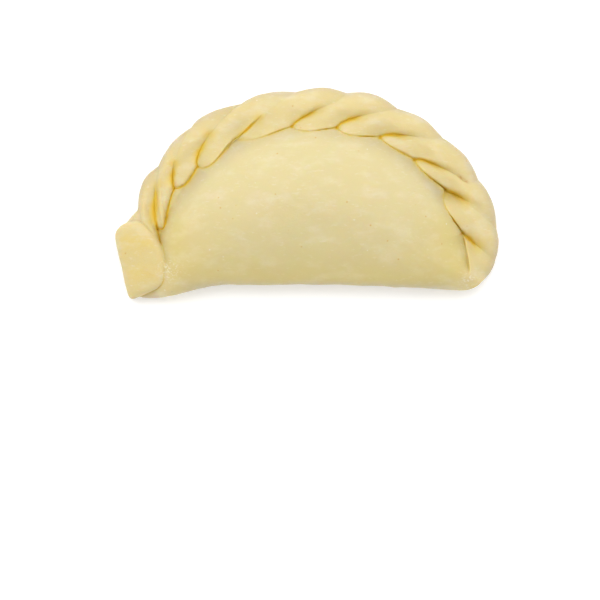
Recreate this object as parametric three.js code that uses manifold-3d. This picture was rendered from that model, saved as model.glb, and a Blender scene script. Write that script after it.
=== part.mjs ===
// An uncooked half-moon dough pie that lies flat. A disc of dough is folded over its filling along
// the straight front edge and sealed along the curved back edge with a twisted rope, whose tail is
// folded over the left corner as a flat tab. All of it is one skin of dough, so it is one solid.
// Millimetres, +X along the front edge, +Y towards the rope, +Z up.
import * as THREE from 'three';
import { mergeVertices } from 'three/addons/utils/BufferGeometryUtils.js';
import Module from 'manifold-3d';

// Driving dimensions. Plan positions are measured from the centre of the rope's arc.
const DOME_HEIGHT = 28;
const DOME_TOP = new THREE.Vector2(-2, 26);
const DOME_HALF_LENGTH = { left: 52.2, right: 53.5 }; // from the top to the dome's two ends
const CORNER_REACH = { left: 0.5, right: 6 }; // how much further the dome reaches in the front corners
const CORNER_DEPTH = 14; // how far back that further reach fades out
const CREST_END_Y = 8; // the crest bends forwards to here at both ends
const CREST_BEND_POWER = 1.6; // more keeps the crest straight for longer
const CREASE_HEIGHT = 6.8; // where the rope's inner edge lies on the dome
const ROPE_EDGE_HEIGHT = 3.9; // widest point of the rope's outer edge
const FRONT_EDGE_HEIGHT = 9.5; // widest point of the folded front edge
const FRONT_UNDERCUT = 6.5; // from the front edge back to the flat base
const FLAP_THICKNESS = 2.4; // each fold where it comes out from under the one before it
const RIDGE_THICKNESS = 4.1; // each fold where it is rolled over
const RIM_THICKNESS = 4.1; // the rope beyond its grooves
const RIM_WAVE = 0.7; // how much each fold still swells there
const RIM_WAVE_MIDDLE = 0.6; // the wave's level, as a share, at which the rim has its own thickness
const EDGE_RISE = 9; // how far from its thin inner edge a fold is fully thick
const DOUGH_COLOUR = 0xecdcaa;

// The dough rounds over by curves that fall from 1 to 0. The first power is how long the curve
// stays level, and the second how it ends: steeply under 1, easing out over 1.
const CREST_FALL = [2.5, 0.8];
const FRONT_FALL = { middle: [1.7, 0.6], ends: [2, 0.5] };
const BACK_FALL = [2.4, 1.3];
const ROPE_FALL = [2.4, 0.5];
const ROLL_FALL = [2, 0.5];
const CORNER_FALL = [4, 0.5];

// The dome's foot in plan, which the rope's inner edge follows.
const DOME_FOOT = { centre: new THREE.Vector2(-1.7, -0.2), radius: 53.6 };

// The rope's eleven folds lie between twelve grooves, from the tab clockwise to the right corner.
// Each groove runs from a notch in the rope's inner edge to a dip in its outer edge, both given as
// an angle in degrees and a radius. It leaves the notch straight outwards where bend is small and
// along the rope where bend is large, and it is cut down to depth, as a share of the rope's width.
// Bulge and bump swell the fold after it inwards and outwards, the bump late in the fold where skew
// is over 1, and edges are how thick that fold's inner edge is at its start and at its end.
const GROOVES = [
  { notch: [177.0, 50.9], dip: [180.7, 59.2], bend: 1, depth: 0.50,
    bulge: 0.9, bump: 2.8, skew: 3, edges: [0.6, 1.6] },
  { notch: [162.2, 56.7], dip: [144.2, 66.2], bend: 0.93, depth: 1.20,
    bulge: 2.4, bump: 1.0, skew: 1, edges: [3.0, 3.0] },
  { notch: [147.3, 57.3], dip: [128.8, 67.0], bend: 0.62, depth: 0.62,
    bulge: 1.6, bump: 1.2, skew: 0.6, edges: [1.6, 1.8] },
  { notch: [136.5, 55.6], dip: [112.9, 65.0], bend: 0.54, depth: 0.74,
    bulge: 2.8, bump: 1.2, skew: 0.8, edges: [0.7, 1.1] },
  { notch: [120.1, 55.2], dip: [96.5, 64.1], bend: 1.60, depth: 0.50,
    bulge: 2.4, bump: 1.0, skew: 1, edges: [0.6, 1.0] },
  { notch: [99.4, 52.4], dip: [81.0, 64.3], bend: 1.12, depth: 0.62,
    bulge: 2.0, bump: 1.6, skew: 1, edges: [0.6, 1.0] },
  { notch: [82.6, 51.8], dip: [65.0, 64.1], bend: 0.85, depth: 0.66,
    bulge: 2.0, bump: 1.3, skew: 1, edges: [0.6, 1.1] },
  { notch: [66.2, 52.7], dip: [48.5, 64.3], bend: 1, depth: 0.62,
    bulge: 1.1, bump: 1.2, skew: 1, edges: [0.9, 1.3] },
  { notch: [51.0, 52.3], dip: [32.0, 64.3], bend: 1.25, depth: 0.68,
    bulge: 1.4, bump: 1.3, skew: 1, edges: [1.0, 1.7] },
  { notch: [35.3, 53.0], dip: [16.0, 63.1], bend: 1, depth: 0.62,
    bulge: 2.7, bump: 0.8, skew: 1, edges: [0.4, 1.8] },
  { notch: [17.9, 51.6], dip: [5.9, 60.6], bend: 1.25, depth: 0.62,
    bulge: -0.4, bump: 0.7, skew: 1, edges: [0.5, 0.4] },
  { notch: [1.3, 50.4], dip: [-0.7, 55.2], bend: 1, depth: 0.60,
    bulge: 0, bump: 0, skew: 1, edges: [0, 0] },
];
const FOLD_COUNT = GROOVES.length - 1;
const GROOVE_FADE = 0.32; // the last part of a groove's depth, where it runs out
const PIT = { depth: 0.7, before: 0.18, width: 0.14 }; // the pinch shortly before a groove's end

// Where along a fold it rises to its full thickness, and where it starts to roll down again. Its
// inner edge bulges most soon after its start.
const FOLD_RISE = [0.05, 0.68];
const ROLL_START = 0.7;
const BULGE_SKEW = 0.7;

// The first fold comes up out of the dome at the left corner and the last one runs out into it at
// the right: where along them the grooves are full, and where the rope lies clear of the dome.
const TWIST_SPAN = { left: [0.2, 0.7], right: [0.4, 0.9] };
const ROPE_SPAN = { left: [0, 0.5], right: [0.5, 1] };

// The folded front edge in plan: almost straight, and bent forwards towards both corners, which
// round off to the rope's two ends.
const FRONT_Y = -1.25;
const FRONT_BEND = { left: 4.7, right: 2.2 };
const LEFT_BEND_SPAN = [34, 57]; // how far left of the arc's centre the front bends
const FRONT_END = { left: -54, right: 48 };
const LEFT_CORNER = new THREE.Vector2(-61.4, -6.3);
const RIGHT_CORNER = new THREE.Vector2(53, -3.4);
const CORNER_SHARE = 0.14; // each corner's share of the front columns
const CORNER_DROP = 2.4; // how much lower the edge is at the left corner, under the tab
const CORNER_DROP_SPAN = [46, 56];
const NARROW_FOOT_SPAN = { left: [51, 58], right: [47, 55] }; // where the base draws in to the rope's

// The tab is a folded flap with straight sides, and a second layer of it shows behind. Each corner
// is a point and how far before and after it the outline rounds. The top slopes evenly.
const TAB = {
  corners: [
    [-68.7, 16.6, 2.4], [-59.6, 21.0, 3.4], [-51.7, 9.6, 5.0], [-51.7, -0.9, 2.6], [-63.4, -7.2, 2.4],
  ],
  centre: new THREE.Vector2(-59.3, 6.5),
  top: 10.6,
  slope: new THREE.Vector2(0.20, 0.02),
  bottom: 0.4,
};
const TAB_BACK = {
  corners: [[-67.4, 16.4, 2.0], [-59.6, 25.2, 2.5], [-55.5, 20.0, 2.5], [-62.0, 10.0, 2.0]],
  centre: new THREE.Vector2(-61.0, 17.6),
  top: 7.2,
  slope: new THREE.Vector2(0.10, 0.02),
  bottom: 0.6,
};
const FLAP_SIDE_POWER = 3.2; // 2 is a round side, more is flatter on top
const FLAP_COLUMNS = 48;
const FLAP_ROWS = 10;

// The grid of the dough's skin: columns run from a point on top of the dome to the same point of
// the base, and in front the rim starts at a share of their way to the outline.
const RING_CENTRE = new THREE.Vector2(-2, 22);
const RIM_START = { right: 0.92, front: 0.8, left: 0.86 };
const RIM_START_SPAN = { right: [0, 0.25], left: [0.8, 1] };
const COLUMNS_PER_FOLD = 13;
const GROOVE_CROWDING = 0.09; // how far columns shift towards the grooves
const FRONT_COLUMNS = 44;
const DOME_ROWS = 8;
const DOME_ROW_POWER = 1.5; // over 1, rows lie closer together towards the rope
const RIM_ROWS = 10;
const UNDER_ROWS = 4;
const BASE_ROWS = 1;
const COLUMNS = FOLD_COUNT * COLUMNS_PER_FOLD + FRONT_COLUMNS;
const ROWS = DOME_ROWS + RIM_ROWS + UNDER_ROWS + BASE_ROWS;

const { lerp, degToRad, smoothstep, clamp } = THREE.MathUtils;

function fromPolar(degrees, radius) {
  const angle = degToRad(degrees);
  return new THREE.Vector2(radius * Math.cos(angle), radius * Math.sin(angle));
}

function fall(share, [level, ending]) {
  return (1 - clamp(share, 0, 1) ** level) ** ending;
}

function frontLine(x) {
  const right = FRONT_BEND.right * (Math.max(x, 0) / FRONT_END.right) ** 2;
  const left = FRONT_BEND.left * smoothstep(-x, ...LEFT_BEND_SPAN);
  return new THREE.Vector2(x, FRONT_Y - right - left);
}

const rightCorner = new THREE.QuadraticBezierCurve(
  fromPolar(...GROOVES[FOLD_COUNT].dip), RIGHT_CORNER, frontLine(FRONT_END.right),
);
const leftCorner = new THREE.QuadraticBezierCurve(
  frontLine(FRONT_END.left), LEFT_CORNER, fromPolar(...GROOVES[0].dip),
);

// A point of the front edge, from the rope's right end at 0 to its left end at 1.
function frontEdge(along) {
  if (along < CORNER_SHARE) {
    return rightCorner.getPoint(along / CORNER_SHARE);
  }
  if (along > 1 - CORNER_SHARE) {
    return leftCorner.getPoint((along - 1 + CORNER_SHARE) / CORNER_SHARE);
  }
  const share = (along - CORNER_SHARE) / (1 - 2 * CORNER_SHARE);
  return frontLine(lerp(FRONT_END.right, FRONT_END.left, share));
}

// A column of the front: its rim is the dome's own edge.
function frontColumn(along) {
  const outer = frontEdge(along);
  const fromRight = lerp(RIM_START.right, RIM_START.front, smoothstep(along, ...RIM_START_SPAN.right));
  const rimStart = lerp(fromRight, RIM_START.left, smoothstep(along, ...RIM_START_SPAN.left));
  const inner = RING_CENTRE.clone().lerp(outer, rimStart);
  const footShare = smoothstep(outer.x, ...NARROW_FOOT_SPAN.right)
    + smoothstep(-outer.x, ...NARROW_FOOT_SPAN.left);
  return { inner, outer, footShare };
}

// A column of the rope: also its fold, how far along the fold it is, how deep the grooves are there
// and how far the rope lies clear of the dome.
function ropeColumn(fold, step) {
  const along = step - GROOVE_CROWDING * Math.sin(2 * Math.PI * step);
  const inner = ropePoint(fold, along, 0);
  const outer = ropePoint(fold, along, 1);
  const column = { inner, outer, footShare: 1, fold, along, twist: 1, ropeShare: 1 };
  if (fold === 0) {
    column.twist = smoothstep(along, ...TWIST_SPAN.left);
    column.ropeShare = smoothstep(along, ...ROPE_SPAN.left);
  } else if (fold === FOLD_COUNT - 1) {
    column.twist = 1 - smoothstep(along, ...TWIST_SPAN.right);
    column.ropeShare = 1 - smoothstep(along, ...ROPE_SPAN.right);
  }
  return column;
}

function columnAt(index) {
  const fold = Math.floor(index / COLUMNS_PER_FOLD);
  if (fold < FOLD_COUNT) {
    return ropeColumn(fold, (index % COLUMNS_PER_FOLD) / COLUMNS_PER_FOLD);
  }
  return frontColumn((index - FOLD_COUNT * COLUMNS_PER_FOLD) / FRONT_COLUMNS);
}

// A point of the rope in plan: across is 0 at its inner edge and 1 at its outer edge.
function ropePoint(fold, along, across) {
  const start = GROOVES[fold];
  const end = GROOVES[fold + 1];
  const innerAngle = lerp(start.notch[0], end.notch[0], along);
  const innerRadius = lerp(start.notch[1], end.notch[1], along)
    - start.bulge * Math.sin(Math.PI * along ** BULGE_SKEW);
  const outerAngle = lerp(start.dip[0], end.dip[0], along);
  const outerRadius = lerp(start.dip[1], end.dip[1], along)
    + start.bump * Math.sin(Math.PI * along ** start.skew);
  const turn = 1 - (1 - across) ** lerp(start.bend, end.bend, along);
  return fromPolar(lerp(innerAngle, outerAngle, turn), lerp(innerRadius, outerRadius, across));
}

// Height of a fold above the rope's bed: low where it comes out from under the fold before it,
// rising to its ridge, then rolling down into the next groove. Grooves fade out towards the rim,
// and the inner edge is thin.
function foldHeight({ fold, along, inner, outer, twist }, across) {
  const start = GROOVES[fold];
  const depth = lerp(start.depth, GROOVES[fold + 1].depth, along);
  const grooveShare = twist * (1 - smoothstep(across, depth - GROOVE_FADE, depth));
  const pit = PIT.depth * Math.exp(-(((across - depth + PIT.before) / PIT.width) ** 2));
  const bottom = FLAP_THICKNESS - pit;
  const risen = lerp(bottom, RIDGE_THICKNESS, smoothstep(along, ...FOLD_RISE));
  const roll = fall((along - ROLL_START) / (1 - ROLL_START), ROLL_FALL);
  const wave = twist * RIM_WAVE * (Math.sin(Math.PI * along) - RIM_WAVE_MIDDLE);
  const thickness = lerp(RIM_THICKNESS + wave, lerp(bottom, risen, roll), grooveShare);
  const edge = Math.min(lerp(...start.edges, along), thickness);
  const fromCrease = across * (outer.length() - inner.length());
  return lerp(edge, thickness, smoothstep(fromCrease, 0, EDGE_RISE));
}

// The dome has a crest from left to right. From it the skin falls to a full round edge in front,
// and eases down to the dome's foot at the back.
function domeHeight({ x, y }) {
  const end = x > DOME_TOP.x ? 'right' : 'left';
  const halfLength = DOME_HALF_LENGTH[end] + CORNER_REACH[end] * (1 - smoothstep(y, 0, CORNER_DEPTH));
  const side = Math.min(1, Math.abs(x - DOME_TOP.x) / halfLength);
  const crest = lerp(CREASE_HEIGHT, DOME_HEIGHT, fall(side, CREST_FALL));
  const crestY = lerp(DOME_TOP.y, CREST_END_Y, side ** CREST_BEND_POWER);
  if (y < crestY) {
    const edge = lerp(FRONT_EDGE_HEIGHT, CREASE_HEIGHT, side ** 2);
    const powers = FRONT_FALL.middle.map((power, i) => lerp(power, FRONT_FALL.ends[i], side ** 2));
    return lerp(edge, crest, fall((crestY - y) / (crestY - frontLine(x).y), powers));
  }
  const halfChord = Math.sqrt(Math.max(0, DOME_FOOT.radius ** 2 - (x - DOME_FOOT.centre.x) ** 2));
  const depth = Math.max(1, DOME_FOOT.centre.y + halfChord - crestY);
  return lerp(CREASE_HEIGHT, crest, fall((y - crestY) / depth, BACK_FALL));
}

// The rim from the dome's foot to the outline: the rope at the back, the dome's own edge in front.
function rimPoint(column, across) {
  const { inner, outer, fold, along, ropeShare } = column;
  if (fold === undefined) {
    const plan = inner.clone().lerp(outer, across);
    const drop = CORNER_DROP * smoothstep(-outer.x, ...CORNER_DROP_SPAN);
    return new THREE.Vector3(plan.x, plan.y, domeHeight(plan) - drop * (1 - fall(across, CORNER_FALL)));
  }
  const plan = ropePoint(fold, along, across);
  const bed = lerp(domeHeight(inner), ROPE_EDGE_HEIGHT, across);
  const puffed = across === 0 ? 0 : fall(2 * across - 1, ROPE_FALL);
  const ropeHeight = bed + foldHeight(column, across) * puffed;
  return new THREE.Vector3(plan.x, plan.y, lerp(domeHeight(plan), ropeHeight, ropeShare));
}

// A point of the skin, on its way from the top of the dome over the rim to the middle of the base.
function skinPoint(column, row) {
  const { inner, outer, footShare } = column;
  if (row <= DOME_ROWS) {
    const plan = RING_CENTRE.clone().lerp(inner, 1 - (1 - row / DOME_ROWS) ** DOME_ROW_POWER);
    return new THREE.Vector3(plan.x, plan.y, domeHeight(plan));
  }
  if (row <= DOME_ROWS + RIM_ROWS) {
    return rimPoint(column, 0.5 - 0.5 * Math.cos((Math.PI * (row - DOME_ROWS)) / RIM_ROWS));
  }
  if (row <= DOME_ROWS + RIM_ROWS + UNDER_ROWS) {
    const undercut = lerp(FRONT_UNDERCUT, outer.distanceTo(inner), footShare);
    const foot = outer.clone().lerp(RING_CENTRE, undercut / outer.distanceTo(RING_CENTRE));
    const turn = (0.5 * Math.PI * (row - DOME_ROWS - RIM_ROWS)) / UNDER_ROWS;
    const plan = outer.clone().lerp(foot, 1 - Math.cos(turn));
    return new THREE.Vector3(plan.x, plan.y, rimPoint(column, 1).z * (1 - Math.sin(turn)));
  }
  return new THREE.Vector3(RING_CENTRE.x, RING_CENTRE.y, 0);
}

// Keeps only the position of each vertex, so that vertices on a seam or a pole are shared.
function weld(geometry) {
  geometry.deleteAttribute('normal');
  geometry.deleteAttribute('uv');
  return mergeVertices(geometry, 1e-4);
}

function doughSkin() {
  const geometry = new THREE.SphereGeometry(1, COLUMNS, ROWS);
  const position = geometry.attributes.position;
  for (let row = 0; row <= ROWS; row += 1) {
    for (let index = 0; index <= COLUMNS; index += 1) {
      const point = skinPoint(columnAt((COLUMNS - index) % COLUMNS), row);
      position.setXYZ(row * (COLUMNS + 1) + index, point.x, point.y, point.z);
    }
  }
  return weld(geometry);
}

// Evenly spaced points of a closed outline, clockwise, with straight sides and rounded corners.
function flapOutline(corners) {
  const outline = new THREE.Path();
  corners.forEach(([x, y, rounding], i) => {
    const corner = new THREE.Vector2(x, y);
    const [before, after] = [corners.at(i - 1), corners[(i + 1) % corners.length]].map((other) => {
      const towards = new THREE.Vector2(other[0], other[1]).sub(corner);
      return towards.setLength(rounding).add(corner);
    });
    if (i === 0) {
      outline.moveTo(before.x, before.y);
    } else {
      outline.lineTo(before.x, before.y);
    }
    outline.quadraticCurveTo(corner.x, corner.y, after.x, after.y);
  });
  outline.closePath();
  return outline.getSpacedPoints(FLAP_COLUMNS);
}

// A flap of dough with rounded sides and a sloping top.
function flap({ corners, centre, top, slope, bottom }) {
  const geometry = new THREE.SphereGeometry(1, FLAP_COLUMNS, FLAP_ROWS);
  const position = geometry.attributes.position;
  const outline = flapOutline(corners);
  for (let row = 0; row <= FLAP_ROWS; row += 1) {
    const turn = (Math.PI * row) / FLAP_ROWS;
    const girth = Math.abs(Math.sin(turn)) ** (2 / FLAP_SIDE_POWER);
    const side = Math.abs(Math.cos(turn)) ** (2 / FLAP_SIDE_POWER);
    const rise = 0.5 + 0.5 * Math.sign(Math.cos(turn)) * side;
    for (let index = 0; index <= FLAP_COLUMNS; index += 1) {
      const plan = centre.clone().lerp(outline[(FLAP_COLUMNS - index) % FLAP_COLUMNS], girth);
      const topHere = top + plan.clone().sub(centre).dot(slope);
      position.setXYZ(row * (FLAP_COLUMNS + 1) + index, plan.x, plan.y, lerp(bottom, topHere, rise));
    }
  }
  return weld(geometry);
}

const wasm = await Module();
wasm.setup();

function toSolid(geometry) {
  return new wasm.Manifold(new wasm.Mesh({
    numProp: 3,
    vertProperties: new Float32Array(geometry.attributes.position.array),
    triVerts: new Uint32Array(geometry.index.array),
  }));
}

function toGeometry(solid) {
  const { vertProperties, triVerts } = solid.getMesh();
  const geometry = new THREE.BufferGeometry();
  geometry.setAttribute('position', new THREE.BufferAttribute(new Float32Array(vertProperties), 3));
  geometry.setIndex(new THREE.BufferAttribute(new Uint32Array(triVerts), 1));
  geometry.computeVertexNormals();
  return geometry;
}

function empanadaMesh() {
  const solid = toSolid(doughSkin()).add(toSolid(flap(TAB_BACK))).add(toSolid(flap(TAB)));
  const geometry = toGeometry(solid);
  geometry.computeBoundingBox();
  const centre = geometry.boundingBox.getCenter(new THREE.Vector3());
  geometry.translate(-centre.x, -centre.y, -geometry.boundingBox.min.z);
  const dough = new THREE.MeshStandardMaterial({ color: DOUGH_COLOUR, roughness: 0.6, metalness: 0 });
  const mesh = new THREE.Mesh(geometry, dough);
  mesh.name = 'empanada';
  return mesh;
}

const group = new THREE.Group();
group.add(empanadaMesh());

export default group;
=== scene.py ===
"""Looks of an uncooked half-moon dough pie: one skin of dough with a twisted rope and a folded tab.

The skin is worked out in millimetres from the centre of the rope's arc, +X along the folded front
edge, +Y towards the rope and +Z up, and then set into the frame's box in metres.
"""
import math
from collections import namedtuple

import bpy
import numpy as np
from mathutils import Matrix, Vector
from mathutils.bvhtree import BVHTree
from mathutils.kdtree import KDTree
from numpy.linalg import norm


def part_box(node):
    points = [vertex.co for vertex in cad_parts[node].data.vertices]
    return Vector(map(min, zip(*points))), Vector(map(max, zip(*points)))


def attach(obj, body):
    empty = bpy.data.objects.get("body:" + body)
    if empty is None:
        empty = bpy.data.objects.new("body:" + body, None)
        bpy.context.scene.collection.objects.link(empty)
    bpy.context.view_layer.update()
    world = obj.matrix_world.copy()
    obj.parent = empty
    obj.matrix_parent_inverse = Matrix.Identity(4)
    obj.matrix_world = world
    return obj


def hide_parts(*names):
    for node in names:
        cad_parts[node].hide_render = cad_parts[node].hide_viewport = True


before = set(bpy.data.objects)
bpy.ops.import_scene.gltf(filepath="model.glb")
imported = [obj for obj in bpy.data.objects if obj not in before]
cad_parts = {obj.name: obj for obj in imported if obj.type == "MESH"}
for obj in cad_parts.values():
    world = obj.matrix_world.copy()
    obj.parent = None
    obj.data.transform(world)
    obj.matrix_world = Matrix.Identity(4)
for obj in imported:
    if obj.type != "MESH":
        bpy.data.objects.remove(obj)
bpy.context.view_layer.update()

MM = 0.001

# ---- driving dimensions, millimetres

# The dome: its top, how far it reaches from there to each side and how much further at the front
# corners, how far forwards its crest bends, and its height along the rope, the front and the ends.
DOME_HEIGHT = 28.0
DOME_TOP = np.array([-2.0, 26.0])
DOME_HALF_LENGTH_RIGHT, DOME_HALF_LENGTH_LEFT = 53.5, 52.2
CORNER_REACH_RIGHT, CORNER_REACH_LEFT = 6.0, 0.5
CORNER_DEPTH = 14
CREST_END_Y = 8.0
CREASE_HEIGHT, FRONT_EDGE_HEIGHT, END_HEIGHT = 8.9, 9.5, 6.8
DOME_FOOT_CENTRE, DOME_FOOT_RADIUS = np.array([-1.7, -0.2]), 53.6

# How full the dome's profiles are, as the power that keeps each high and the one that ends it, and
# how late towards both ends the crease falls and the crest bends.
CREST_PROFILE, BACK_PROFILE = (2.5, 0.8), (2.4, 1.3)
FRONT_PROFILE_MIDDLE, FRONT_PROFILE_ENDS = (1.7, 0.6), (2.0, 0.5)
CREASE_FALL_POWER, CREST_BEND_POWER = 4, 1.6

# The front edge is almost straight. It bends forwards at both ends, on the left over a stretch, and
# each corner takes a share of its length. The dome is undercut below it, and drops at its left end.
FRONT_Y = -1.55
FRONT_BEND_RIGHT, FRONT_BEND_LEFT = 2.0, 4.5
FRONT_LEFT_STRETCH = (30, 57)
FRONT_RIGHT_END, FRONT_LEFT_END = 48.0, -58.0
RIGHT_CORNER, LEFT_CORNER = np.array([53.0, -3.4]), np.array([-63.5, -6.2])
CORNER_SHARE = 0.14
LEFT_DROP = 2.4
FRONT_UNDERCUT = 6.5

# Each groove runs from a notch in the rope's inner edge to a dip in its outer edge, both as an
# angle in degrees and a radius. Its sweep says how it turns on the way: late where the first number
# is large, with a lead over that where the second is. It reaches to depth, a share of the rope's
# width. The fold that comes out of it bulges inwards and bumps outwards, early where the skew is
# under 1 and late where it is over 1. Edges are how thick that fold's inner edge is at its start and
# its end, sunk is how deep it starts beside the groove, and roll is how wide the fold before it
# rolls over into the groove.
Groove = namedtuple("Groove", "notch dip sweep depth bulge bulge_skew bump bump_skew edges sunk roll")
GROOVES = [
    Groove((177.0, 50.9), (180.7, 59.2), (1.00, 0.00), 0.50, 0.9, 0.7, 2.8, 3.0, (0.6, 1.6), 0.4, 2.0),
    Groove((162.2, 56.7), (144.2, 66.2), (1.00, 0.00), 0.85, 2.1, 0.35, 1.0, 1.0, (2.6, 2.4), 1.5, 2.4),
    Groove((147.3, 57.3), (128.8, 67.0), (0.93, -0.64), 0.62, 1.75, 0.65, 1.2, 0.6, (1.0, 1.5), 0.9, 1.9),
    Groove((136.5, 55.6), (112.9, 65.0), (0.94, -0.78), 0.72, 2.8, 0.57, 1.2, 0.8, (0.5, 0.8), 0.5, 1.8),
    Groove((120.1, 55.2), (96.5, 64.1), (0.32, -0.53), 0.44, 2.4, 0.7, 1.0, 1.0, (0.4, 0.3), 0.5, 1.6),
    Groove((99.4, 52.4), (81.0, 64.3), (1.37, 1.18), 0.57, 2.0, 0.7, 1.6, 1.0, (0.3, 0.45), 0.4, 1.1),
    Groove((82.6, 51.8), (65.0, 64.1), (1.53, 0.86), 0.62, 2.0, 0.7, 1.3, 1.0, (0.4, 0.25), 0.5, 1.1),
    Groove((66.2, 52.7), (48.5, 64.3), (1.54, 1.35), 0.57, 1.1, 0.7, 1.2, 1.0, (0.5, 0.7), 0.6, 1.0),
    Groove((51.0, 52.3), (32.0, 64.3), (1.55, 1.90), 0.53, 1.4, 0.7, 1.3, 1.0, (0.6, 0.55), 1.0, 1.0),
    Groove((35.3, 53.0), (16.0, 63.1), (0.60, -0.61), 0.52, 2.7, 0.7, 0.8, 1.0, (0.6, 0.4), 3.0, 1.5),
    Groove((17.9, 51.6), (5.9, 60.6), (0.91, 0.13), 0.56, -0.5, 3.5, 0.7, 1.0, (0.5, 0.2), 0.8, 1.5),
    Groove((1.3, 50.4), (-0.7, 55.2), (1.00, 0.00), 0.60, 0.0, 0.7, 0.0, 1.0, (0.0, 0.0), 1.0, 2.0),
]
FOLD_COUNT = len(GROOVES) - 1
FIRST, LAST = 0, FOLD_COUNT - 1

# A fold's dough: the flap that it starts with, the ridge that it rises to, and the rim beyond the
# grooves, which waves. It is full at EDGE_RISE from the crease, where the rope meets the dome. Its
# bed falls to the rope's outer edge, where a full round ends it.
FLAP_THICKNESS, RIDGE_THICKNESS = 2.4, 3.2
RIM_THICKNESS, RIM_WAVE = 3.5, 0.7
EDGE_RISE = 10.0
ROPE_EDGE_HEIGHT = 3.9
ROPE_ROUNDNESS = 2.4

# A groove fades out over the last of its depth, with a pit before its end: both as shares of the
# rope's width. Every crease is pinched in, and the first and the last sink into the dome as well.
GROOVE_FADE = 0.32
PIT_DEPTH, PIT_INSET, PIT_RADIUS = 0.7, 0.18, 0.14
END_SINK = 1.5
CREASE_PINCH = 0.2

# How a fold's edge rolls over. On the crease the roll is as wide as the edge is thick, times a
# share and within limits. In a groove it widens outwards and turns further round. It rolls in full
# where the fold's top is FULL_OVERHANG above what its edge comes down to.
CREASE_ROLL_SHARE, ROLL_WIDTH_LIMITS = 1.3, (0.6, 3.0)
GROOVE_ROLL_GROWTH = 1.3
ROLL_TURN_CREASE, ROLL_TURN_GROOVE = math.radians(72), math.radians(76)
ROLL_POWER = 1.15
FULL_OVERHANG = 2.5

# How far the painted golden shade reaches from a crease and, in widths of its roll, from a groove,
# how far it spreads on the dome, the weaker patch of it at both ends of a groove, and how far the
# painted shade reaches around a notch and beside a crease.
CREASE_TINT_REACH, GROOVE_TINT_ROLLS = 0.35, 0.85
CREASE_SPREAD, LAST_CREASE_SPREAD = 0.6, 1.3
GROOVE_END_INSET, GROOVE_END_RADIUS = 0.12, 3.2
NOTCH_SHADE_RADIUS, CREASE_SHADE_REACH = 1.1, 0.2

# The tab is a folded flap with a straight-sided outline: each corner is a point and how far before
# and after it the outline starts to round. Its top slopes evenly and its sides are squarer than a
# circle, by a power. A second layer shows behind it.
Flap = namedtuple("Flap", "corners centre top slope bottom")
TAB = Flap(
    corners=[((-69.3, 17.9), 5.2), ((-59.6, 21.1), 4.4), ((-50.4, 9.6), 6.0),
             ((-50.6, -1.2), 3.4), ((-63.4, -7.2), 2.6)],
    centre=(-59.3, 6.5), top=10.6, slope=(0.20, 0.02), bottom=0.4,
)
TAB_BACK = Flap(
    corners=[((-67.4, 16.4), 2.0), ((-59.6, 25.2), 2.5), ((-55.5, 20.0), 2.5), ((-62.0, 10.0), 2.0)],
    centre=(-61.0, 17.6), top=7.2, slope=(0.10, 0.02), bottom=0.6,
)
FLAP_SIDE_POWER = 4.2

# Fine relief: lumps as height, size and seed, the ragged crease edges likewise, how deep a crease
# is cut, the notches that are pinched, a short tear on the eighth fold, and the seam around the
# tab, which is softened in rounds.
LUMPS = [(0.10, 13, 4), (0.05, 5, 5)]
RAGGED_EDGE = (0.09, 1.8, 6)
CREASE_CUT = 0.15
NOTCH_RADIUS, NOTCH_DEPTH = 0.75, 0.6
PINCHED = GROOVES[1:4] + GROOVES[5:-1]
TEAR = np.array([[48.0, 35.0], [49.3, 33.9], [50.7, 33.2]])
TEAR_WIDTH, TEAR_DEPTH = 0.4, 0.3
SEAM_REACH, SEAM_ROUNDS = 0.6, 8

# Places whose colour differs: floury patches as a place and a radius, two bands of painted golden
# shade across the tab as a place along y, a radius and a strength, and the last crease, with less
# painted golden shade by a share.
FLOUR = [((51.0, 0.0), 2.6), ((-49.5, 3.2), 3.6)]
TAB_SHADE_BANDS = [(13, 3, 1.0), (2.5, 3, 0.7)]
LAST_CREASE = np.array([[49.3, 15.5], [51.0, 3.0]])
LAST_CREASE_REACH, LAST_CREASE_SHARE = 2.5, 0.35

# ---- the mesh's grid

RING_CENTRE = np.array([-2.0, 22.0])
COLUMNS_PER_FOLD = 64
FRONT_COLUMNS = 256
ROPE_COLUMNS = FOLD_COUNT * COLUMNS_PER_FOLD
COLUMNS = ROPE_COLUMNS + FRONT_COLUMNS
RIM_ROWS = 34
UNDER_ROWS = 12
LINE_POINTS = 61
# The dome's rings, as shares of the way from the ring centre to the rope, closer together near it.
DOME_RINGS = np.concatenate([
    [0.03, 0.06, 0.12, 0.18, 0.25],
    np.linspace(0.3, 0.86, 22),
    np.linspace(0.88, 0.985, 12),
    [0.99, 0.994, 0.998],
])
# The rings of the flat base, each as its share of the way out and its step along the columns.
BASE_RINGS = [(0.85, 2), (0.7, 4), (0.5, 8), (0.3, 16), (0.12, 32)]
LARGEST_STEP = 32
# A vertex belongs to a surface that it is this close to.
TOUCHING = 0.02


def lerp(start, end, share):
    return start + (end - start) * share


def ease(value, low, high):
    """0 up to low and 1 from high, with a smooth change between them."""
    t = np.clip((value - low) / (high - low), 0, 1)
    return t * t * (3 - 2 * t)


def bell(distance, radius):
    """1 at no distance, with a round top, and almost 0 at twice the radius."""
    return np.exp(-((distance / radius) ** 2))


def fading(distance, reach):
    """1 at no distance, with a sharp top, and a third at the reach."""
    return np.exp(-distance / reach)


def polar(degrees, radius):
    angle = np.radians(degrees)
    return np.stack([radius * np.cos(angle), radius * np.sin(angle)], axis=-1)


def raised(plan, height):
    """Points of a plan at a height."""
    return np.concatenate([plan, height[..., None]], axis=-1)


def bezier(start, middle, end, share):
    share = share[..., None]
    return (1 - share) ** 2 * start + 2 * share * (1 - share) * middle + share**2 * end


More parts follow.
